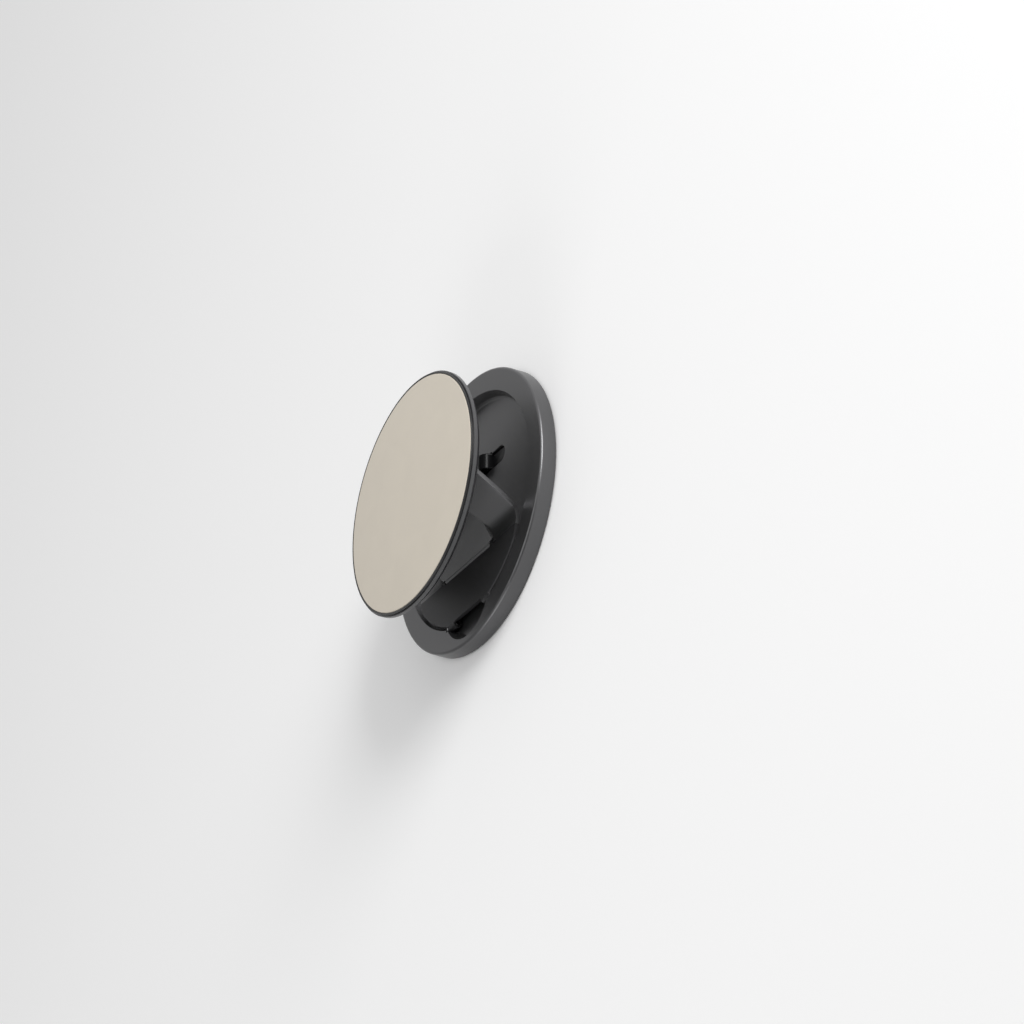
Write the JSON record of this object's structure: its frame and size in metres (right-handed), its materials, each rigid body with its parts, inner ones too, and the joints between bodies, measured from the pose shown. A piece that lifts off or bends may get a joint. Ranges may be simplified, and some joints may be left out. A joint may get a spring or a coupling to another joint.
{
  "type": "magnetic phone grip",
  "caption": "Round magnetic phone grip: a flat recessed base, a bent folding arm and a pale round disc to hold, which presses flat and tilts as a stand.",
  "frame": {"origin": "centre of the base's flat back", "axes": "+Z out of the back towards the disc, +X right, +Y up as worn on a phone"},
  "size_m": [0.0573, 0.0572, 0.016],
  "materials": {
    "tray_black": "satin, very fine grain",
    "cover_black": "matt",
    "pad_rubber": "matt soft pad",
    "magnet_nickel": "nickel plated",
    "plain_steel": "cold rolled sheet",
    "pin_steel": "ground wire",
    "catch_gloss": "polished",
    "leaf_black": "satin",
    "band_black": "satin elastomer",
    "plate_grey": "satin grey coat",
    "disc_metal": "satin black coat",
    "seal_black": "deep black",
    "backing_board": "plain",
    "face_leather": "smooth pale matt face",
    "screw_steel": "dark plated",
    "pin_black": "black plated"
  },
  "bodies": {
    "base": {"base_tray": "tray_black", "back_cover": "cover_black", "back_pad": "pad_rubber", "ring_magnets": "magnet_nickel", "magnet_shield": "plain_steel", "hinge_pins": "pin_black", "pin_keepers": "cover_black", "hinge_washers": "pin_steel", "catch_block": "catch_gloss", "latch_magnet": "magnet_nickel"},
    "arm": {"saddle_leaf": "leaf_black", "side_band": "band_black", "crease_pin": "pin_steel"},
    "prop": {"prop_plate": "plate_grey", "slide_pins": "pin_steel", "slide_rollers": "catch_gloss"},
    "disc": {"disc_frame": "disc_metal", "seal_ring": "seal_black", "steel_plate": "plain_steel", "face_backing": "backing_board", "face_inlay": "face_leather", "slide_bracket": "plate_grey", "bracket_screws": "screw_steel", "band_clamp": "plate_grey", "clamp_screws": "screw_steel"}
  },
  "joints": [
    {"name": "stand_tilt", "type": "hinge", "parent": "base", "child": "arm", "pos_m": [0, -0.022, 0.00255], "axis": [1, 0, 0], "range_deg": [0, 35]},
    {"name": "disc_press", "type": "slide", "parent": "arm", "child": "disc", "axis": [0, 0, 1], "range_m": [-0.0102, 0], "deforming": ["side_band"]},
    {"name": "prop_fold", "type": "hinge", "parent": "arm", "child": "prop", "pos_m": [0, -0.0116, 0.003], "axis": [1, 0, 0], "range_deg": [-30, 0.1]}
  ],
  "couplings": [
    {"joint": "prop_fold", "follows": "disc_press", "rad_per_m": 51.057}
  ]
}
